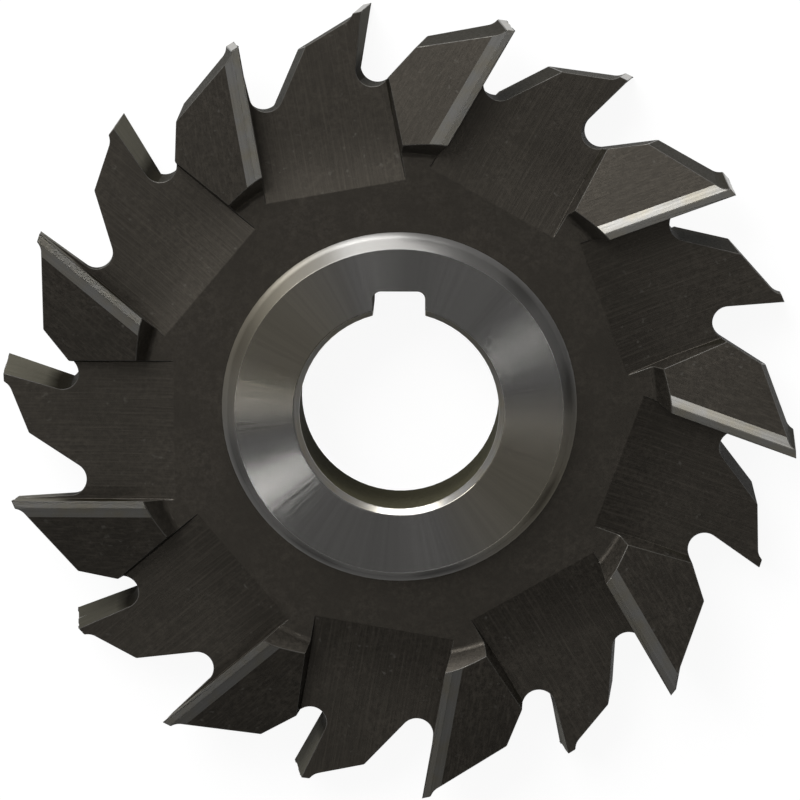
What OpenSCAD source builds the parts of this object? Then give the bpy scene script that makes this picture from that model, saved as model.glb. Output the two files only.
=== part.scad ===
// Side and face milling cutter with staggered teeth, ground from one piece of tool steel.
// Millimetres. The bore axis is Z, z = 0 is the middle of the width, and the keyway points to +Y.
// Tooth places are angles counted clockwise as seen from +Z, which is the way the cutter turns.
// Teeth take turns: a front tooth cuts with its side edge on +Z, a back tooth with its edge on -Z.

/* [Blank] */
// Diameter over the tooth tips
outer_d = 101.6; // [85:0.1:120]
// Width over the side edges and over the hub
face_w = 12.7; // [10:0.1:16]
// Diameter of the flat hub face
hub_d = 42; // [38:0.1:46]
// Lean of the hub's turned flank from the axis, in degrees
hub_flank = 20; // [5:1:30]
// Thickness of the web between the two turned recesses
web_t = 6.8; // [5:0.1:9]
// Diameter of the recess floor, where the tooth ring begins
recess_d = 65.4; // [62:0.1:70]
// Lean of the recess's outer wall from the axis, in degrees
recess_flank = 33; // [10:1:45]
// Radius in the turned corners of the recess floor
recess_fillet = 0.8; // [0.3:0.1:1.2]

/* [Bore] */
// Diameter of the arbor bore
bore_d = 25.4; // [20:0.1:30]
// Chamfer at both ends of the bore
bore_chamfer = 0.75; // [0.2:0.05:1.5]
// Width of the keyway
key_w = 6.6; // [4:0.1:8]
// Depth of the keyway beyond the bore wall
key_depth = 2.8; // [1.5:0.1:4]
// Radius in the keyway's two inner corners
key_corner = 1; // [0.3:0.1:1.5]

/* [Teeth] */
// Number of front teeth, each followed by a back tooth
front_tooth_count = 9; // [8:1:10]
// Angle from the keyway to the first front tooth at mid width, in degrees
first_tooth = 15.7; // [0:0.1:40]
// Turn of the back teeth from even spacing, in degrees
pitch_shift = 0.85; // [0:0.05:1.2]
// Lean of the teeth from the axis, to alternate hands, in degrees
helix = 7.7; // [3:0.1:12]
// Angle between a tooth face and the radius through its tip, in degrees
flute_rake = 10.5; // [5:0.5:13]

/* [Chip spaces] */
// Depth of a chip space below the tooth tips
flute_depth = 9.6; // [8:0.1:11]
// Radius at the bottom of a chip space
gullet_r = 2.1; // [1.2:0.1:2.6]
// Angle between a tooth face and the back of the next tooth, in degrees
flute_angle = 37; // [32:1:42]

/* [Tooth backs] */
// Width of the ground land behind each tip
land_w = 1.1; // [0.6:0.1:1.8]
// Relief of that land, in degrees
land_relief = 7.5; // [4:0.5:12]
// Slope of the tooth back behind the land, in degrees
back_relief = 26.5; // [20:0.5:30]
// Depth at which the plane of the tooth back passes under the tip
back_drop = 0.15; // [0.05:0.05:0.4]
// Radius of the hollow between the land and the tooth back
back_hollow = 2; // [1:0.1:3]

/* [Side gashes] */
// Angle between a side edge and the radius through its tip, in degrees
side_angle = 13.3; // [10:0.1:15]
// Distance from the axis at which a gash runs out into the web
gash_runout = 28.75; // [26:0.25:31]
// Radius of the arc in which the gash floor runs out
gash_runout_r = 39; // [25:1:60]
// Depth of the gash below the web where that arc meets the flat floor
gash_depth = 1.1; // [0.6:0.05:1.6]
// Slope of the flat gash floor, deeper towards the rim, in degrees
gash_slope = 1.5; // [0:0.25:4]
// Room in a gash beside the tip of the tooth that stands in it
gash_room = 0.1; // [0.05:0.05:0.6]
// Draft of the gash wall behind that tooth, in degrees
gash_draft = 12; // [5:1:20]

/* [Side lands] */
// Width of the ground land along each side edge
edge_land_w = 0.95; // [0.5:0.05:1.5]
// Relief of that land, in degrees
edge_land_relief = 3; // [1:0.5:6]
// Width of the second ground land
second_land_w = 1.2; // [0.5:0.1:2]
// Relief of the second land, in degrees
second_land_relief = 10; // [6:0.5:14]
// Relief of the pad behind the lands, in degrees
pad_relief = 14; // [8:0.5:16]

/* [Hidden] */
$fn = 96;
oxide = [0.2, 0.19, 0.17];
// How far a cutting shape reaches past the surface that it cuts
over = 2;

tip_r = outer_d / 2;
half_w = face_w / 2;
web_z = web_t / 2;
recess_depth = half_w - web_z;
hub_r = hub_d / 2;
hub_base_r = hub_r + recess_depth * tan(hub_flank);
recess_r = recess_d / 2;
recess_top_r = recess_r + recess_depth * tan(recess_flank);
bore_r = bore_d / 2;
key_top = bore_r + key_depth;

pitch = 180 / front_tooth_count;
// Lead of a tooth's side edge over its place at mid width
side_lead = atan(half_w * tan(helix) / tip_r);
// Turn from a tooth's place to the direction of its side edge
edge_turn = side_lead + side_angle;
// Distance of the side edge's line from the axis
edge_x = tip_r * sin(side_angle);
// Place of the gash wall behind the tooth that stands in the gash
gash_wall_x = tip_r * sin(pitch + pitch_shift - edge_turn) + gash_room;
// Distance behind a tip at which the chip space before it is open
tooth_reach = tip_r * sin(pitch) - 2 * gullet_r;

// Distance of the line of a tooth face from the axis
rake_x = tip_r * sin(flute_rake);
gullet_x = gullet_r - rake_x;
gullet_y = sqrt(pow(tip_r - flute_depth + gullet_r, 2) - pow(gullet_x, 2));

// Turns a shape that was drawn at +Y clockwise to a tooth's place
module at_angle(angle) {
    rotate([0, 0, -angle]) children();
}

// Draws an outline of X and Z along Y, from one distance to another
module along_y(from, to) {
    translate([0, to, 0]) rotate([90, 0, 0]) linear_extrude(to - from) children();
}

// Fills the corner between two lines that leave it at the given angles
module corner_fillet(corner, first_angle, second_angle, radius) {
    middle = (first_angle + second_angle) / 2;
    half = abs(second_angle - first_angle) / 2;
    leg = radius / tan(half);
    outward = [cos(middle), sin(middle)];
    centre = corner + radius / sin(half) * outward;
    difference() {
        polygon([
            corner - radius * outward,
            corner + leg * [cos(first_angle), sin(first_angle)],
            centre,
            corner + leg * [cos(second_angle), sin(second_angle)]
        ]);
        translate(centre) circle(radius);
    }
}

// Half section of the turned blank above mid width
module upper_section() {
    polygon([
        [0, 0],
        [tip_r, 0],
        [tip_r, half_w],
        [recess_top_r, half_w],
        [recess_r, web_z],
        [hub_base_r, web_z],
        [hub_r, half_w],
        [0, half_w]
    ]);
    corner_fillet([hub_base_r, web_z], 0, 90 + hub_flank, recess_fillet);
    corner_fillet([recess_r, web_z], 90 - recess_flank, 180, recess_fillet);
}

// Turned blank with its hub, web and tooth ring
module blank() {
    rotate_extrude() {
        upper_section();
        mirror([0, 1]) upper_section();
    }
}

// Chamfer at the upper end of the bore
module bore_chamfer_cut() {
    translate([0, 0, half_w - bore_chamfer])
        cylinder(h = bore_chamfer + over, r1 = bore_r, r2 = bore_r + bore_chamfer + over);
}

// Outline of the keyway from the axis to its floor
module key_outline() {
    inner_w = key_w - 2 * key_corner;
    translate([-key_w / 2, 0]) square([key_w, key_top - key_corner]);
    translate([-inner_w / 2, 0]) square([inner_w, key_top]);
    for (side = [-1, 1])
        translate([side * inner_w / 2, key_top - key_corner]) circle(key_corner);
}

// Arbor bore with its chamfers and keyway
module bore_cut() {
    cylinder(h = face_w + 2 * over, r = bore_r, center = true);
    linear_extrude(face_w + 2 * over, center = true) key_outline();
    bore_chamfer_cut();
    mirror([0, 0, 1]) bore_chamfer_cut();
}

// Outline of the chip space in front of a tooth: its face, the gullet and the next tooth's flank
module flute_outline() {
    top_y = tip_r + over;
    flank_foot = [gullet_x + gullet_r * cos(flute_angle), gullet_y - gullet_r * sin(flute_angle)];
    flank_top = [flank_foot.x + (top_y - flank_foot.y) * tan(flute_angle), top_y];
    rotate(-flute_rake) {
        polygon([[-rake_x, gullet_y], [-rake_x, top_y], flank_top, flank_foot]);
        translate([gullet_x, gullet_y]) circle(gullet_r);
    }
}

// Outline cut from the rim behind a tip: ground land, hollow and sloping tooth back
module back_outline() {
    top_y = tip_r + over;
    slope = [-cos(back_relief), -sin(back_relief)];
    outward = [-sin(back_relief), cos(back_relief)];
    under_tip = [0, tip_r - back_drop];
    heel = [-land_w, tip_r - land_w * tan(land_relief)];
    heel_run = (heel - under_tip) * slope;
    heel_rise = (heel - under_tip) * outward;
    foot_run = heel_run + sqrt(2 * back_hollow * heel_rise - pow(heel_rise, 2));
    foot = under_tip + foot_run * slope;
    back_end = under_tip + tooth_reach / cos(back_relief) * slope;
    polygon([[0, top_y], [0, tip_r], heel, foot, back_end, [back_end.x, top_y]]);
    translate(foot + back_hollow * outward) circle(back_hollow);
}

// Chip space and rim relief of one tooth, leaning to one hand
module rim_cut(lean) {
    rotate([0, lean, 0]) linear_extrude(face_w + 4 * over, center = true) {
        flute_outline();
        back_outline();
    }
}

// Lengthwise section of a gash: its run-out arc from the web and its flat floor out to the rim
module gash_floor_outline() {
    top_z = half_w + over;
    end_y = tip_r + over;
    runout_slope = acos(cos(gash_slope) - gash_depth / gash_runout_r);
    centre = [gash_runout, web_z] + gash_runout_r * [sin(runout_slope), cos(runout_slope)];
    foot = centre - gash_runout_r * [sin(gash_slope), cos(gash_slope)];
    end_z = foot.y - (end_y - foot.x) * tan(gash_slope);
    intersection() {
        translate([gash_runout - over, 0]) square([end_y - gash_runout + over, top_z]);
        union() {
            translate(centre) circle(gash_runout_r);
            polygon([foot, [end_y, end_z], [end_y, top_z], [foot.x, top_z]]);
        }
    }
}

// Gash beside a front tooth's side edge, which the next back tooth stands in
module gash() {
    top_z = half_w + over;
    end_y = tip_r + over;
    intersection() {
        along_y(0, end_y) polygon([
            [-edge_x - half_w * tan(helix), 0],
            [-edge_x + over * tan(helix), top_z],
            [gash_wall_x + (top_z - web_z) * tan(gash_draft), top_z],
            [gash_wall_x - web_z * tan(gash_draft), 0]
        ]);
        rotate([0, 0, 90]) along_y(-end_y, end_y) gash_floor_outline();
    }
}

// Ground lands and pad behind a front tooth's side edge
module side_relief() {
    second_x = edge_land_w + second_land_w;
    first_drop = edge_land_w * tan(edge_land_relief);
    second_drop = first_drop + second_land_w * tan(second_land_relief);
    pad_drop = second_drop + (tooth_reach - second_x) * tan(pad_relief);
    along_y(gash_runout - over, tip_r + over) translate([-edge_x, half_w]) polygon([
        [0, over],
        [0, 0],
        [-edge_land_w, -first_drop],
        [-second_x, -second_drop],
        [-tooth_reach, -pad_drop],
        [-tooth_reach, over]
    ]);
}

// All that is cut from the front side at one front tooth
module side_cut() {
    at_angle(edge_turn) {
        gash();
        side_relief();
    }
}

// The whole cutter
module cutter() {
    color(oxide) difference() {
        blank();
        bore_cut();
        for (pair = [0 : front_tooth_count - 1]) {
            front = first_tooth + 2 * pitch * pair;
            back = front + pitch - pitch_shift;
            at_angle(front) rim_cut(helix);
            at_angle(back) rim_cut(-helix);
            at_angle(front) side_cut();
            mirror([0, 0, 1]) at_angle(back) side_cut();
        }
    }
}

cutter();
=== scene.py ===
import math

import bmesh
import bpy
from mathutils import Matrix, Vector


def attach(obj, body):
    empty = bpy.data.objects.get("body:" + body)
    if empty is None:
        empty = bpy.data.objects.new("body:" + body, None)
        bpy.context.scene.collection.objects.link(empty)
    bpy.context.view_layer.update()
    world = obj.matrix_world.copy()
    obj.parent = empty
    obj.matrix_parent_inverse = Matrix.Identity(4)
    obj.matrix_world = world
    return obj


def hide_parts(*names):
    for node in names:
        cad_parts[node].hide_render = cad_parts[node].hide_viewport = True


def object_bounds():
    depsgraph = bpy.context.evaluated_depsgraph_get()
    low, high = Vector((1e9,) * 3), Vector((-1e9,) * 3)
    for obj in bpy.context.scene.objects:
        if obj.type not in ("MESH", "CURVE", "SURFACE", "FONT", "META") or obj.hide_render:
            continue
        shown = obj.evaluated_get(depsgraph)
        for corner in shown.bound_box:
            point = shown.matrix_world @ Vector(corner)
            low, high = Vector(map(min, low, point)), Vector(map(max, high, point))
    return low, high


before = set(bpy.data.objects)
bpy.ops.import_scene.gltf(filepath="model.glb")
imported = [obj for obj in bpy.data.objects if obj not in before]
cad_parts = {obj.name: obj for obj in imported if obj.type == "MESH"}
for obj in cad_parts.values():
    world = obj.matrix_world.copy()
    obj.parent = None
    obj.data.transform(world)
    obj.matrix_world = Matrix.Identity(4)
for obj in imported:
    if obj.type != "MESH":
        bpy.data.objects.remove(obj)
cad_low, cad_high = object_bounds()

MM = 0.001

# Sizes of the cutter that its finish follows: millimetres and degrees, turns clockwise from the keyway
HALF_WIDTH = cad_high.z / MM
TEETH_PER_SIDE = 9
FRONT_EDGE_ANGLE = 29.97
BACK_EDGE_ANGLE = 49.12
EDGE_OFFSET = 11.69
EDGE_LAND_RELIEF = 3
SECOND_LAND_RELIEF = 10
PAD_RELIEF = 14
KEYWAY_END = 16.5
WEB_Z = 3.4
GASH_START = 28
RECESS_TOP_R = 34.7
ROOT_R = 38
TIP_LAND_R = 49.6

# The hub's flank, from the rim of its face to its foot, in millimetres and degrees
HUB_FACE_R = 20.91
HUB_EDGE_ROUND = 0.129
HUB_EDGE_LEAN = 15
HUB_FLANK_LEAN = 70
HUB_FOOT_ROUND = 0.8
HUB_FOOT_END = 22.634
HUB_FOOT_R = 22.9
FOOT_LEAN_STEP = 8
FLANK_STEPS = 180
# Width at the rim of the hub's face in which its rounded edge lies
RIM_MARGIN = 0.1

# Rounding of the cutter's edges, in millimetres
EDGE_ROUND = 0.09
EDGE_ANGLE = 6
# Outer edges that turn by more than this have wear, in degrees
WEAR_ANGLE = 25
# Faces that lean less than this from each other are one flat face, in degrees
FLAT_ANGLE = 0.2
# Shorter edges than this are closed up before the rounding, in millimetres
SLIVER = 0.02
# Points closer than this are one point, in metres
SAME_POINT = 1e-7
# Corner points that the rounding pushes this far past the cutter's side are brought back, in millimetres
PAST_SIDE = 0.005
# Where such a point goes between its neighbours
CORNER_SHARE = 0.2

# Limits for telling the faces apart: parts of a normal, and a margin in millimetres
LEVEL = 0.999
NEARLY_LEVEL = 0.99
SIDE_LEVEL = 0.9
RIM_LEVEL = 0.5
BORE_LEVEL = 0.1
TOOTH_FACE_AHEAD = 0.8
TIP_LAND_OUTWARD = 0.97
SAME_LEAN = 0.008
GASH_ACROSS = 0.006
GASH_ALONG_LOW = 0.015
GASH_ALONG_HIGH = 0.27
FACE_MARGIN = 0.01

# Camera: degrees and millimetres, with its clipping in metres
CAMERA_LEAN = 11.05
CAMERA_TURN = -0.9
CAMERA_DISTANCE = 698.1
CAMERA_RIGHT = 0.03
CAMERA_UP = 0.31
CAMERA_LENS = 245.25
CAMERA_SENSOR = 36
CAMERA_NEAR = 0.01
CAMERA_FAR = 20


# Helpers for shader nodes

def add(tree, kind, inputs=None, **settings):
    """Adds a node, sets its options, and sets or links its inputs."""
    node = tree.nodes.new(kind)
    for name, value in settings.items():
        setattr(node, name, value)
    for name, value in (inputs or {}).items():
        if isinstance(value, bpy.types.NodeSocket):
            tree.links.new(value, node.inputs[name])
        else:
            node.inputs[name].default_value = value
    return node


def place(tree):
    """The point on the cutter, in millimetres."""
    point = add(tree, "ShaderNodeTexCoord").outputs["Object"]
    return add(tree, "ShaderNodeVectorMath", {0: point, "Scale": 1 / MM}, operation="SCALE").outputs[0]


def times(tree, vector, factors):
    """A vector with its three parts multiplied."""
    return add(tree, "ShaderNodeVectorMath", {0: vector, 1: factors}, operation="MULTIPLY").outputs[0]


def distance_from_axis(tree):
    """The point's distance from the bore's axis, in millimetres."""
    flat = times(tree, place(tree), (1, 1, 0))
    return add(tree, "ShaderNodeVectorMath", {0: flat}, operation="LENGTH").outputs["Value"]


def outward_direction(tree):
    """The direction from the bore's axis to the point, with length 1."""
    flat = times(tree, place(tree), (1, 1, 0))
    return add(tree, "ShaderNodeVectorMath", {0: flat}, operation="NORMALIZE").outputs[0]


def noise(tree, vector, scale, detail=4.0, roughness=0.55):
    """Noise from 0 to 1."""
    inputs = {"Vector": vector, "Scale": scale, "Detail": detail, "Roughness": roughness}
    return add(tree, "ShaderNodeTexNoise", inputs).outputs["Fac"]


def spread(tree, value, low, high, new_low=0.0, new_high=1.0):
    """A value moved from one range to another and held there."""
    inputs = {"Value": value, "From Min": low, "From Max": high, "To Min": new_low, "To Max": new_high}
    return add(tree, "ShaderNodeMapRange", inputs).outputs["Result"]


def math_node(tree, operation, first, second):
    """One step of arithmetic."""
    return add(tree, "ShaderNodeMath", {0: first, 1: second}, operation=operation).outputs[0]


def blend_colour(tree, factor, first, second):
    """A colour between two colours."""
    node = add(tree, "ShaderNodeMix", data_type="RGBA")
    sockets = {0: factor, 6: first, 7: second}
    for index, value in sockets.items():
        if isinstance(value, bpy.types.NodeSocket):
            tree.links.new(value, node.inputs[index])
        else:
            node.inputs[index].default_value = value
    return node.outputs[2]


def bump(tree, height, depth, normal=None):
    """A bumped normal, with the depth in millimetres."""
    inputs = {"Height": height, "Strength": 1.0, "Distance": depth * MM}
    if normal is not None:
        inputs["Normal"] = normal
    return add(tree, "ShaderNodeBump", inputs).outputs["Normal"]


def new_material(name):
    """An empty material with its node tree and shader."""
    material = bpy.data.materials.new(name)
    material.use_nodes = True
    tree = material.node_tree
    return material, tree, tree.nodes["Principled BSDF"]


# Finishes: colours, gloss, and places in millimetres and degrees

OXIDE = (0.0065, 0.0058, 0.0048, 1)
OXIDE_PALE = (0.034, 0.030, 0.0245, 1)
OXIDES = (OXIDE, OXIDE_PALE)
OXIDE_IOR = 1.57
OXIDE_GLOSS = (1.0, 0.90, 0.76, 1)
OXIDE_SMOOTHEST = 0.34
OXIDE_ROUGHEST = 0.52
OXIDE_GRAIN_DEPTH = 0.006
SPECK = (0.055, 0.053, 0.048, 1)
# Bore wall: dark oxide colours with almost no gloss (IOR near 1), which also paint the shade inside the
# bore
BORE_OXIDE_AND_SHADE = (0.045, 0.042, 0.026, 1)
BORE_PALE_OXIDE_AND_SHADE = (0.068, 0.064, 0.042, 1)
BORE_IOR = 1.01
RIM = (0.016, 0.0145, 0.0108, 1)
RIM_PALE = (0.028, 0.0258, 0.020, 1)
RIM_IOR = 1.04
STEEL = (0.275, 0.27, 0.26, 1)
STEEL_OLIVE = (0.31, 0.285, 0.23, 1)
FLANK_STEEL = (0.29, 0.285, 0.275, 1)
EDGE_STEEL = (0.24, 0.235, 0.22, 1)
LAND_STEEL = (0.39, 0.383, 0.365, 1)
DULL_STEEL = (0.075, 0.071, 0.059, 1)
WORN_STEEL = (0.11, 0.106, 0.095, 1)
WORN_ROUGHNESS = 0.36
UNWORN_ROUGHNESS = 0.45
OLIVE_TURN = 150
OLIVE_FROM = 0.75
OLIVE_SHADE = (1.0, 0.94, 0.8)
GRINDING_MARK_STRENGTH = 0.2
QUARTER_TURN = 0.25
ROOT_BROWN = (0.017, 0.0145, 0.008, 1)
FACE_STEEL = (0.062, 0.058, 0.044, 1)
FACE_PALE = (0.09, 0.085, 0.067, 1)
TOOTH_FACE_IOR = 1.03
TOOTH_FACE_BARE_FROM = 44.4
TOOTH_FACE_BARE_TO = 46.2
TOOTH_FACE_WANDER = 1.2
TOOTH_ROOT_ROUGHNESS = 0.5
TOOTH_TIP_ROUGHNESS = 0.42


def marks(tree):
    """The point along and across the cutting marks, in millimetres."""
    return add(tree, "ShaderNodeUVMap", uv_map="marks").outputs["UV"]


def streaks(tree, vector, length, width):
    """Fine lines along the first axis of a vector, from 0 to 1."""
    stretched = times(tree, vector, (1 / length, 1 / width, 1 / width))
    return noise(tree, stretched, scale=1.0, detail=3.0)


def oxide_colour(tree, lines, line_strength, colours):
    """Blotchy, grainy black oxide with cutting marks and pale specks."""
    point = place(tree)
    dark, pale = colours
    blotches = spread(tree, noise(tree, point, scale=0.16, detail=5.0, roughness=0.6), 0.3, 0.7)
    grain = spread(tree, noise(tree, point, scale=1.6, detail=4.0, roughness=0.7), 0.4, 0.72)
    base = blend_colour(tree, math_node(tree, "MULTIPLY", blotches, grain), dark, pale)
    lined = blend_colour(tree, spread(tree, lines, 0.48, 0.72, 0.0, line_strength), base, pale)
    speck_strength = 1.3 * line_strength
    clusters = spread(tree, noise(tree, point, scale=0.2, detail=2.0), 0.46, 0.62, 0.0, speck_strength)
    specks = spread(tree, noise(tree, point, scale=1.3, detail=1.0), 0.66, 0.78)
    return blend_colour(tree, math_node(tree, "MULTIPLY", clusters, specks), lined, SPECK)


def oxide(
    name, line_length, line_width, line_depth, line_strength,
    turned=False, colours=OXIDES, ior=OXIDE_IOR,
):
    """Black oxide over a cut surface, with lines along its marks or, if turned, round the axis."""
    material, tree, shader = new_material(name)
    if turned:
        radius = distance_from_axis(tree)
        vector = add(tree, "ShaderNodeCombineXYZ", {"Y": radius}).outputs[0]
    else:
        vector = marks(tree)
    lines = streaks(tree, vector, line_length, line_width)
    grain = noise(tree, place(tree), scale=3.5, detail=3.0)
    normal = bump(tree, grain, OXIDE_GRAIN_DEPTH)
    normal = bump(tree, lines, line_depth, normal)
    tree.links.new(oxide_colour(tree, lines, line_strength, colours), shader.inputs["Base Color"])
    roughness = spread(tree, grain, 0.3, 0.7, OXIDE_SMOOTHEST, OXIDE_ROUGHEST)
    tree.links.new(roughness, shader.inputs["Roughness"])
    tree.links.new(normal, shader.inputs["Normal"])
    shader.inputs["IOR"].default_value = ior
    shader.inputs["Specular Tint"].default_value = OXIDE_GLOSS
    return material


def ground_steel(name, colour, line_length, line_width, roughness):
    """Bare ground steel with fine grinding marks and a faint olive stain."""
    material, tree, shader = new_material(name)
    lines = streaks(tree, marks(tree), line_length, line_width)
    stain = spread(tree, noise(tree, place(tree), scale=0.35, detail=4.0), 0.4, 0.7)
    stained = blend_colour(tree, stain, colour, times(tree, colour[:3], OLIVE_SHADE))
    mark_strength = spread(tree, lines, 0.4, 0.7, 0.0, GRINDING_MARK_STRENGTH)
    marked = blend_colour(tree, mark_strength, stained, DULL_STEEL)
    tree.links.new(marked, shader.inputs["Base Color"])
    lined_roughness = spread(tree, lines, 0.3, 0.7, roughness - 0.01, roughness + 0.02)
    tree.links.new(lined_roughness, shader.inputs["Roughness"])
    shader.inputs["Metallic"].default_value = 1
    return material


def turned_steel(name, colour, roughness, anisotropy, line_depth, ray_depth, ray_strength):
    """Bare steel with fine rings and rays round the axis, stained olive on two opposite sides."""
    material, tree, shader = new_material(name)
    radius = distance_from_axis(tree)
    ring = add(tree, "ShaderNodeCombineXYZ", {"Y": radius}).outputs[0]
    lines = streaks(tree, ring, length=1.0, width=0.2)
    outward = outward_direction(tree)
    olive_direction = (math.cos(math.radians(OLIVE_TURN)), math.sin(math.radians(OLIVE_TURN)), 0)
    olive = add(tree, "ShaderNodeVectorMath", {0: outward, 1: olive_direction}, operation="DOT_PRODUCT")
    either_side = add(tree, "ShaderNodeMath", {0: olive.outputs["Value"]}, operation="ABSOLUTE").outputs[0]
    stain = spread(tree, either_side, OLIVE_FROM, 1.0)
    stained = blend_colour(tree, stain, colour, STEEL_OLIVE)
    rays = noise(tree, outward, scale=30.0, detail=4.0)
    streaked = blend_colour(tree, spread(tree, rays, 0.4, 0.7, 0.0, ray_strength), stained, DULL_STEEL)
    tree.links.new(streaked, shader.inputs["Base Color"])
    lined_roughness = spread(tree, lines, 0.3, 0.7, roughness - 0.02, roughness + 0.02)
    tree.links.new(lined_roughness, shader.inputs["Roughness"])
    normal = bump(tree, lines, line_depth)
    normal = bump(tree, rays, ray_depth, normal)
    tree.links.new(normal, shader.inputs["Normal"])
    tangent = add(tree, "ShaderNodeTangent", direction_type="RADIAL", axis="Z").outputs[0]
    tree.links.new(tangent, shader.inputs["Tangent"])
    shader.inputs["Metallic"].default_value = 1
    shader.inputs["Anisotropic"].default_value = anisotropy
    shader.inputs["Anisotropic Rotation"].default_value = QUARTER_TURN
    return material


def tooth_face():
    """Tooth face: ground bare towards the tip, black oxide towards the root."""
    material, tree, shader = new_material("tooth_face")
    wander = math_node(tree, "MULTIPLY", noise(tree, place(tree), scale=0.5, detail=3.0), TOOTH_FACE_WANDER)
    reach = math_node(tree, "ADD", distance_from_axis(tree), wander)
    bare = spread(tree, reach, TOOTH_FACE_BARE_FROM, TOOTH_FACE_BARE_TO)
    lines = streaks(tree, marks(tree), length=6.0, width=0.12)
    root = blend_colour(tree, lines, OXIDE, ROOT_BROWN)
    ground = blend_colour(tree, spread(tree, lines, 0.35, 0.7), FACE_STEEL, FACE_PALE)
    tree.links.new(blend_colour(tree, bare, root, ground), shader.inputs["Base Color"])
    roughness = spread(tree, bare, 0.0, 1.0, TOOTH_ROOT_ROUGHNESS, TOOTH_TIP_ROUGHNESS)
    tree.links.new(roughness, shader.inputs["Roughness"])
    tree.links.new(bump(tree, lines, depth=0.004), shader.inputs["Normal"])
    shader.inputs["IOR"].default_value = TOOTH_FACE_IOR
    return material


def worn_edge():
    """Edges on which the oxide has rubbed through in places."""
    material, tree, shader = new_material("worn_edge")
    bare = spread(tree, noise(tree, place(tree), scale=0.6, detail=4.0), 0.42, 0.66)
    colour = blend_colour(tree, bare, OXIDE_PALE, WORN_STEEL)
    tree.links.new(colour, shader.inputs["Base Color"])
    tree.links.new(bare, shader.inputs["Metallic"])
    roughness = spread(tree, bare, 0.0, 1.0, UNWORN_ROUGHNESS, WORN_ROUGHNESS)
    tree.links.new(roughness, shader.inputs["Roughness"])
    return material


FINISH_LIST = [
    oxide("oxide", line_length=4.0, line_width=0.5, line_depth=0.004, line_strength=0.3),
    oxide(
        "rim", line_length=4.0, line_width=0.5, line_depth=0.004, line_strength=0.3,
        colours=(RIM, RIM_PALE), ior=RIM_IOR,
    ),
    oxide("web", line_length=1.0, line_width=0.35, line_depth=0.004, line_strength=0.12, turned=True),
    oxide("gash", line_length=9.0, line_width=0.28, line_depth=0.02, line_strength=0.6),
    oxide("pad", line_length=2.0, line_width=0.3, line_depth=0.016, line_strength=0.6),
    ground_steel("edge_land", EDGE_STEEL, line_length=8.0, line_width=0.3, roughness=0.29),
    ground_steel("land", LAND_STEEL, line_length=8.0, line_width=0.3, roughness=0.17),
    tooth_face(),
    turned_steel(
        "hub_face", STEEL, roughness=0.14, anisotropy=1.0,
        line_depth=0.0001, ray_depth=0.003, ray_strength=0.16,
    ),
    turned_steel(
        "hub_flank", FLANK_STEEL, roughness=0.44, anisotropy=0.9,
        line_depth=0.004, ray_depth=0.0, ray_strength=0.0,
    ),
    ground_steel("chamfer", FLANK_STEEL, line_length=5.0, line_width=0.15, roughness=0.3),
    # The bore's finish is partly oxide and partly painted shade: dark colours and almost no gloss make the
    # bore wall render dark
    oxide(
        "bore", line_length=5.0, line_width=0.15, line_depth=0.003, line_strength=0.3,
        colours=(BORE_OXIDE_AND_SHADE, BORE_PALE_OXIDE_AND_SHADE), ior=BORE_IOR,
    ),
    worn_edge(),
]
FINISH_NAMES = [material.name for material in FINISH_LIST]
# Finishes with no oxide to rub off their edges
BARE = ("hub_face", "hub_flank", "chamfer")
# Finishes that meet smoothly at the foot of the hub
HUB_FOOT = {"hub_flank", "web"}


# Which finish each face of the cutter has, and how its cutting marks run

def side_directions(first_angle):
    """For each side edge on one side: the directions along and across its gash."""
    directions = []
    for tooth in range(TEETH_PER_SIDE):
        angle = math.radians(first_angle + tooth * 360 / TEETH_PER_SIDE)
        along = Vector((math.sin(angle), math.cos(angle), 0))
        across = Vector((math.cos(angle), -math.sin(angle), 0))
        directions.append((along, across))
    return directions


SIDE_DIRECTIONS = {1: side_directions(FRONT_EDGE_ANGLE), -1: side_directions(BACK_EDGE_ANGLE)}
SIDE_RELIEFS = ((EDGE_LAND_RELIEF, "edge_land"), (SECOND_LAND_RELIEF, "land"), (PAD_RELIEF, "pad"))


def straight_marks(along, across):
    """Marks that run straight in one direction."""
    return lambda point: (point.dot(along), point.dot(across))


def arc_length(centre, point):
    """Way round the axis to a point, counted on from the middle of its face."""
    middle = math.atan2(centre.x, centre.y)
    turn = math.remainder(math.atan2(point.x, point.y) - middle, math.tau)
    return (middle + turn) * math.hypot(point.x, point.y)


def ring_marks(centre):
    """Marks that run round the axis."""
    return lambda point: (arc_length(centre, point), point.z)


def axial_marks(centre):
    """Marks that run along the axis, from one side of the cutter to the other."""
    return lambda point: (point.z, arc_length(centre, point) + math.hypot(point.x, point.y))


def side_finish(centre, normal):
    """Finish and marks of a face in the side of the tooth ring, or None."""
    for along, across in SIDE_DIRECTIONS[1 if normal.z > 0 else -1]:
        lean_along = normal.dot(along)
        lean_across = normal.dot(across)
        if abs(lean_along) < SAME_LEAN and centre.dot(across) < -EDGE_OFFSET:
            for relief, finish in SIDE_RELIEFS:
                if abs(lean_across + math.sin(math.radians(relief))) < SAME_LEAN:
                    return finish, straight_marks(along, across)
        in_gash = abs(lean_across) < GASH_ACROSS and GASH_ALONG_LOW < lean_along < GASH_ALONG_HIGH
        if in_gash and abs(centre.z) < WEB_Z:
            return "gash", straight_marks(along, across)
    return None


def rim_finish(centre, normal, radius):
    """Finish and marks of a face of the teeth that runs across the cutter's width."""
    outward = Vector((centre.x, centre.y, 0)) / radius
    clockwise = Vector((outward.y, -outward.x, 0))
    if normal.dot(clockwise) > TOOTH_FACE_AHEAD:
        return "tooth_face", straight_marks(outward, Vector((0, 0, 1)))
    if normal.dot(outward) > TIP_LAND_OUTWARD and radius > TIP_LAND_R:
        return "edge_land", ring_marks(centre)
    return "rim", axial_marks(centre)


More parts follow.
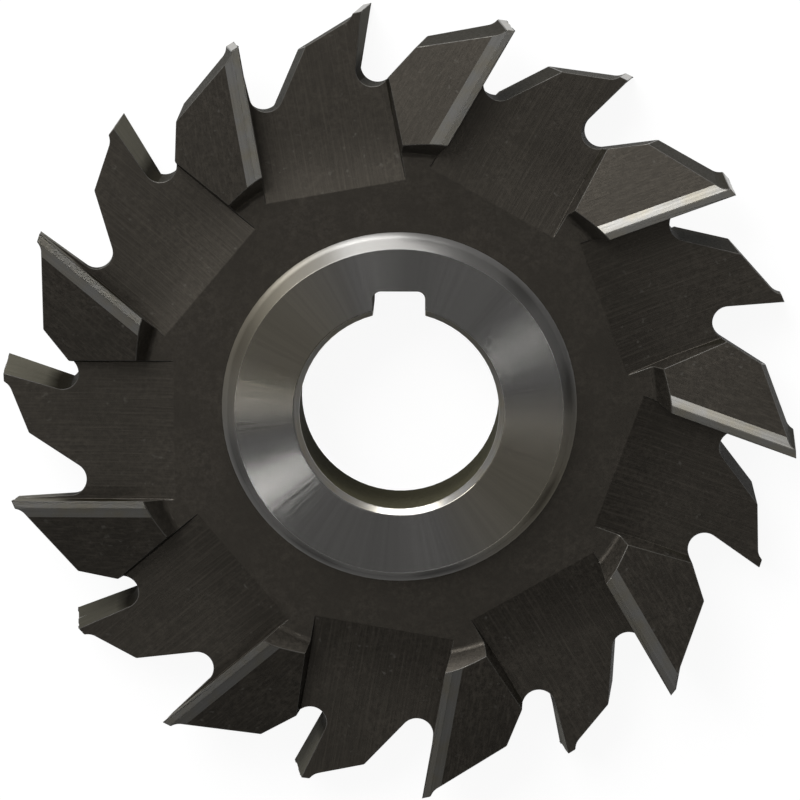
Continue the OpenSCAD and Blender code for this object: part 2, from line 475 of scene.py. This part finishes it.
def face_finish(centre, normal):
    """Finish of one face, and its marks."""
    radius = math.hypot(centre.x, centre.y)
    level = abs(normal.z) > LEVEL
    at_hub_face = abs(centre.z) > HALF_WIDTH - FACE_MARGIN
    if radius < KEYWAY_END and not at_hub_face:
        return "bore" if abs(normal.z) < BORE_LEVEL else "chamfer", ring_marks(centre)
    if level and at_hub_face:
        return "hub_face", ring_marks(centre)
    if radius < HUB_FOOT_R and not level:
        return "hub_flank", ring_marks(centre)
    if radius > ROOT_R and abs(normal.z) < RIM_LEVEL:
        return rim_finish(centre, normal, radius)
    if abs(normal.z) > SIDE_LEVEL and radius > GASH_START:
        found = side_finish(centre, normal)
        if found:
            return found
    if radius < RECESS_TOP_R:
        return "web", ring_marks(centre)
    return "oxide", axial_marks(centre)


# The cutter: the solid's own faces, with rounded edges and a finish on each face

def sort_faces(shape, source, normals, uvs):
    """Gives each face its finish, and each corner its exact normal and its place along the marks."""
    corner_normals = iter(source.corner_normals)
    for face in shape.faces:
        centre = face.calc_center_median() / MM
        finish, mark_place = face_finish(centre, face.normal)
        face.material_index = FINISH_NAMES.index(finish)
        face.smooth = True
        for loop in face.loops:
            loop[normals] = next(corner_normals).vector
            loop[uvs].uv = mark_place(loop.vert.co / MM)


def real_edges(shape, normals):
    """Edges at which the two surfaces meet at an angle."""
    limit = math.cos(math.radians(EDGE_ANGLE))
    found = []
    for edge in shape.edges:
        finishes = {FINISH_NAMES[face.material_index] for face in edge.link_faces}
        if "hub_flank" in finishes and finishes <= HUB_FOOT:
            continue
        one, other = edge.link_loops
        start_dot = one[normals].dot(other.link_loop_next[normals])
        end_dot = one.link_loop_next[normals].dot(other[normals])
        if min(start_dot, end_dot) < limit:
            found.append(edge)
    return found


def wear_outer_edges(rounding):
    """Gives the rounding of outer edges its own finish, and leaves that of inner corners as it is."""
    worn = FINISH_NAMES.index("worn_edge")
    for face in rounding:
        face.smooth = True
        sides = []
        for edge in face.edges:
            middle = (edge.verts[0].co + edge.verts[1].co) / 2
            sides += [(middle, other) for other in edge.link_faces if other not in rounding]
        if len(sides) == 2:
            (first, one), (second, other) = sides
            outer = (second - first).dot(one.normal) < 0
            bare = FINISH_NAMES[one.material_index] in BARE or FINISH_NAMES[other.material_index] in BARE
            if outer and not bare and one.normal.angle(other.normal) > math.radians(WEAR_ANGLE):
                face.material_index = worn


def mend_corners(shape):
    """Brings back the few corner points that the rounding pushed out past the cutter's side."""
    for vert in shape.verts:
        far = [edge.other_vert(vert).co for edge in vert.link_edges if edge.calc_length() > MM]
        if abs(vert.co.z) > (HALF_WIDTH + PAST_SIDE) * MM and len(far) > 1:
            far.sort(key=lambda point: (point - vert.co).length)
            others = sum(far[1:], Vector()) / len(far[1:])
            vert.co = far[0].lerp(others, CORNER_SHARE)


def rounded_normals(shape, normals, rounding):
    """One normal for each corner: exact on the solid's faces, and turning smoothly over the rounding."""
    on_solid = {}
    for face in shape.faces:
        if face not in rounding:
            for loop in face.loops:
                on_solid[loop.vert] = loop[normals].normalized()
    result = []
    for face in shape.faces:
        for loop in face.loops:
            if face in rounding:
                result.append(on_solid.get(loop.vert, loop.vert.normal))
            else:
                result.append(loop[normals].normalized())
    return result


def flank_profile():
    """Radius, height and lean of points down the hub's flank: its upper edge, its slope and its foot."""
    points = []
    for lean in (HUB_EDGE_LEAN, HUB_FLANK_LEAN / 2, HUB_FLANK_LEAN):
        across = math.sin(math.radians(lean)) * HUB_EDGE_ROUND
        down = (1 - math.cos(math.radians(lean))) * HUB_EDGE_ROUND
        points.append((HUB_FACE_R + across, HALF_WIDTH - down, lean))
    for lean in range(HUB_FLANK_LEAN, 0, -FOOT_LEAN_STEP):
        across = math.sin(math.radians(lean)) * HUB_FOOT_ROUND
        up = (1 - math.cos(math.radians(lean))) * HUB_FOOT_ROUND
        points.append((HUB_FOOT_END - across, WEB_Z + up, lean))
    return points


def turn_flank(shape, side):
    """Points and normals of the hub's flank on one side, in rings from its upper edge to its foot."""
    rings = []
    for radius, height, lean in flank_profile():
        ring = []
        for step in range(FLANK_STEPS):
            turn = math.tau * step / FLANK_STEPS
            outward = Vector((math.cos(turn), math.sin(turn), 0))
            vert = shape.verts.new((outward * radius + Vector((0, 0, side * height))) * MM)
            normal = outward * math.sin(math.radians(lean))
            normal.z = side * math.cos(math.radians(lean))
            ring.append((vert, normal))
        rings.append(ring)
    return rings


def add_flank_face(shape, normals, corners, side):
    """Adds one face of the hub's flank from its corners' points and normals."""
    if side < 0:
        corners.reverse()
    face = shape.faces.new([vert for vert, normal in corners])
    face.material_index = FINISH_NAMES.index("hub_flank")
    face.smooth = True
    for loop, (vert, normal) in zip(face.loops, corners):
        loop[normals] = normal


def fill_flank(shape, normals, rings, side):
    """Fills the flank between its rings."""
    for upper, lower in zip(rings, rings[1:]):
        for step in range(FLANK_STEPS):
            ahead = (step + 1) % FLANK_STEPS
            add_flank_face(shape, normals, [upper[step], lower[step], lower[ahead], upper[ahead]], side)


def turn_of(point):
    """Way round the axis from +X to a point of a ring, from 0 to a full turn."""
    vert, normal = point
    return math.atan2(vert.co.y, vert.co.x) % math.tau


def zip_rings(shape, normals, upper, lower, side):
    """Closes the gap between two rings that have different numbers of points."""
    upper = sorted(upper, key=turn_of)
    lower = sorted(lower, key=turn_of)
    above = 0
    below = 0
    while above < len(upper) or below < len(lower):
        next_above = turn_of(upper[above]) if above < len(upper) else math.tau
        next_below = turn_of(lower[below]) if below < len(lower) else math.tau
        if next_above <= next_below and above < len(upper):
            corners = [upper[above - 1], lower[below - 1], upper[above]]
            above += 1
        else:
            corners = [upper[above - 1], lower[below - 1], lower[below]]
            below += 1
        add_flank_face(shape, normals, corners, side)


def open_rims(shape, side):
    """The points of the solid's two open rims on one side, at the hub's face and at the web."""
    middle = (HALF_WIDTH + WEB_Z) / 2 * MM
    level = Vector((0, 0, side))
    verts = {vert for edge in shape.edges if edge.is_boundary for vert in edge.verts}
    at_face = [(vert, level) for vert in verts if vert.co.z * side > middle]
    at_web = [(vert, level) for vert in verts if 0 < vert.co.z * side < middle]
    return at_face, at_web


def on_flank(face):
    """Whether a face is part of the hub's flank or of its rounded upper edge."""
    centre = face.calc_center_median() / MM
    near_edge = HUB_FACE_R - RIM_MARGIN < math.hypot(centre.x, centre.y) < HUB_FOOT_END
    leans = abs(face.normal.z) < NEARLY_LEVEL
    return (near_edge and leans) or FINISH_NAMES[face.material_index] == "hub_flank"


def replace_flanks(shape, normals):
    """Takes out the coarse flanks of the solid and joins smoothly turned ones in."""
    coarse = [face for face in shape.faces if on_flank(face)]
    bmesh.ops.delete(shape, geom=coarse, context="FACES")
    for side in (1, -1):
        at_face, at_web = open_rims(shape, side)
        rings = turn_flank(shape, side)
        fill_flank(shape, normals, rings, side)
        zip_rings(shape, normals, at_face, rings[0], side)
        zip_rings(shape, normals, rings[-1], at_web, side)


def cutter_mesh(source):
    """A clean copy of the solid with rounded edges, finishes and mark directions."""
    shape = bmesh.new()
    shape.from_mesh(source)
    normals = shape.loops.layers.float_vector.new("exact_normal")
    uvs = shape.loops.layers.uv.new("marks")
    sort_faces(shape, source, normals, uvs)
    bmesh.ops.remove_doubles(shape, verts=shape.verts, dist=SAME_POINT)
    bmesh.ops.dissolve_limit(
        shape,
        angle_limit=math.radians(FLAT_ANGLE),
        verts=shape.verts,
        edges=shape.edges,
        delimit={"MATERIAL"},
    )
    bmesh.ops.dissolve_degenerate(shape, edges=shape.edges, dist=SLIVER * MM)
    made = bmesh.ops.bevel(
        shape,
        geom=real_edges(shape, normals),
        offset=EDGE_ROUND * MM,
        segments=1,
        profile=0.5,
        affect="EDGES",
        clamp_overlap=False,
        material=-1,
    )
    rounding = set(made["faces"])
    mend_corners(shape)
    wear_outer_edges(rounding)
    replace_flanks(shape, normals)
    rounding = {face for face in rounding if face.is_valid}
    corner_normals = rounded_normals(shape, normals, rounding)
    mesh = bpy.data.meshes.new("cutter_finished")
    shape.to_mesh(mesh)
    shape.free()
    mesh.normals_split_custom_set(corner_normals)
    for material in FINISH_LIST:
        mesh.materials.append(material)
    return mesh


cutter = bpy.data.objects.new("cutter_finished", cutter_mesh(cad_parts["cutter"].data))
bpy.context.scene.collection.objects.link(cutter)
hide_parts("cutter")
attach(cutter, "root")


# Floor: its side in metres, the light it shows to the camera, and the light it takes and bounces

FLOOR_SIZE = 8.0
FLOOR_GLOW = 0.92
FLOOR_SHADE = 0.14
FLOOR_BOUNCE = 0.8


def seen_ray(tree):
    """1 for rays that show the floor to the camera, also in metal, and 0 for light that it bounces."""
    path = add(tree, "ShaderNodeLightPath")
    seen = math_node(tree, "MAXIMUM", path.outputs["Is Camera Ray"], path.outputs["Is Glossy Ray"])
    return math_node(tree, "MAXIMUM", seen, path.outputs["Is Transmission Ray"])


def floor_material():
    """Pale floor that is white in the light and keeps a soft shadow."""
    material, tree, shader = new_material("floor")
    tree.nodes.remove(shader)
    glow = add(tree, "ShaderNodeEmission", {"Strength": FLOOR_GLOW}).outputs[0]
    shade = add(tree, "ShaderNodeBsdfDiffuse", {"Color": (FLOOR_SHADE,) * 3 + (1,)}).outputs[0]
    bounce = add(tree, "ShaderNodeBsdfDiffuse", {"Color": (FLOOR_BOUNCE,) * 3 + (1,)}).outputs[0]
    seen = add(tree, "ShaderNodeAddShader", {0: glow, 1: shade}).outputs[0]
    both = add(tree, "ShaderNodeMixShader", {0: seen_ray(tree), 1: bounce, 2: seen}).outputs[0]
    tree.links.new(both, tree.nodes["Material Output"].inputs["Surface"])
    material.cycles.emission_sampling = "NONE"
    return material


def make_floor():
    """A plain square floor that the cutter lies on."""
    half = FLOOR_SIZE / 2
    corners = [(-half, -half, 0), (half, -half, 0), (half, half, 0), (-half, half, 0)]
    mesh = bpy.data.meshes.new("floor")
    mesh.from_pydata(corners, [], [(0, 1, 2, 3)])
    mesh.materials.append(floor_material())
    floor = bpy.data.objects.new("floor", mesh)
    floor.location.z = cad_low.z
    bpy.context.scene.collection.objects.link(floor)


make_floor()


# Light: lamps in metres and degrees, and the room's brightness

LAMP_DISTANCE = 1.2
HORIZON = 1.0
HORIZON_LOW = 0.09
HORIZON_TOP = 0.15
SKY_LOW = 0.10
SKY_HIGH = 0.44
SKY_SLOPE = (-0.6, 0.8, 0)
SKY_SLOPE_LOW = -0.5
SKY_SLOPE_HIGH = 0.6


def softbox(name, turn, height, width, length, radiance):
    """A flat lamp that faces the cutter, placed by its turn from +X and its height, both in degrees."""
    lamp = bpy.data.lights.new(name, "AREA")
    lamp.shape = "RECTANGLE"
    lamp.size = width
    lamp.size_y = length
    lamp.energy = radiance * math.pi * width * length
    holder = bpy.data.objects.new(name, lamp)
    level = Vector((math.cos(math.radians(turn)), math.sin(math.radians(turn)), 0))
    toward = level * math.cos(math.radians(height)) + Vector((0, 0, math.sin(math.radians(height))))
    holder.location = toward * LAMP_DISTANCE
    holder.rotation_euler = toward.to_track_quat("Z", "Y").to_euler()
    bpy.context.scene.collection.objects.link(holder)


softbox("top_lamp", turn=96, height=9, width=0.85, length=0.32, radiance=14.0)
softbox("overhead_lamp", turn=112.4, height=79.9, width=0.11, length=0.11, radiance=4.0)
softbox("right_lamp", turn=45, height=79.3, width=0.2, length=0.2, radiance=1.1)
softbox("upper_left_lamp", turn=125, height=42, width=0.75, length=0.75, radiance=5.4)
softbox("left_lamp", turn=229.4, height=76.2, width=0.038, length=0.038, radiance=8.0)
softbox("lower_left_lamp", turn=242, height=72.8, width=0.042, length=0.042, radiance=24.0)


def make_world():
    """A dim room with a white horizon, brighter towards the upper left."""
    world = bpy.data.worlds.new("room")
    world.use_nodes = True
    tree = world.node_tree
    view = add(tree, "ShaderNodeTexCoord").outputs["Generated"]
    height = add(tree, "ShaderNodeSeparateXYZ", {0: view}).outputs["Z"]
    slope = add(tree, "ShaderNodeVectorMath", {0: view, 1: SKY_SLOPE}, operation="DOT_PRODUCT")
    sky = spread(tree, slope.outputs["Value"], SKY_SLOPE_LOW, SKY_SLOPE_HIGH, SKY_LOW, SKY_HIGH)
    strength = spread(tree, height, HORIZON_LOW, HORIZON_TOP, HORIZON, sky)
    tree.links.new(strength, tree.nodes["Background"].inputs["Strength"])
    tree.nodes["Background"].inputs["Color"].default_value = (1, 1, 1, 1)
    bpy.context.scene.world = world


make_world()


# Camera

def make_camera():
    """A long lens above the cutter, leaning a little from its axis towards the keyway."""
    lean = Matrix.Rotation(math.radians(CAMERA_LEAN), 3, "X")
    turn = Matrix.Rotation(math.radians(CAMERA_TURN), 3, "Y")
    to_world = (lean @ turn).transposed()
    camera = bpy.data.cameras.new("camera")
    camera.sensor_width = CAMERA_SENSOR
    camera.lens = CAMERA_LENS
    camera.clip_start = CAMERA_NEAR
    camera.clip_end = CAMERA_FAR
    holder = bpy.data.objects.new("camera", camera)
    centre = to_world @ Vector((CAMERA_RIGHT, CAMERA_UP, CAMERA_DISTANCE)) * MM
    holder.matrix_world = Matrix.Translation(centre) @ to_world.to_4x4()
    bpy.context.scene.collection.objects.link(holder)
    bpy.context.scene.camera = holder


make_camera()
bpy.context.scene.view_settings.view_transform = "Standard"
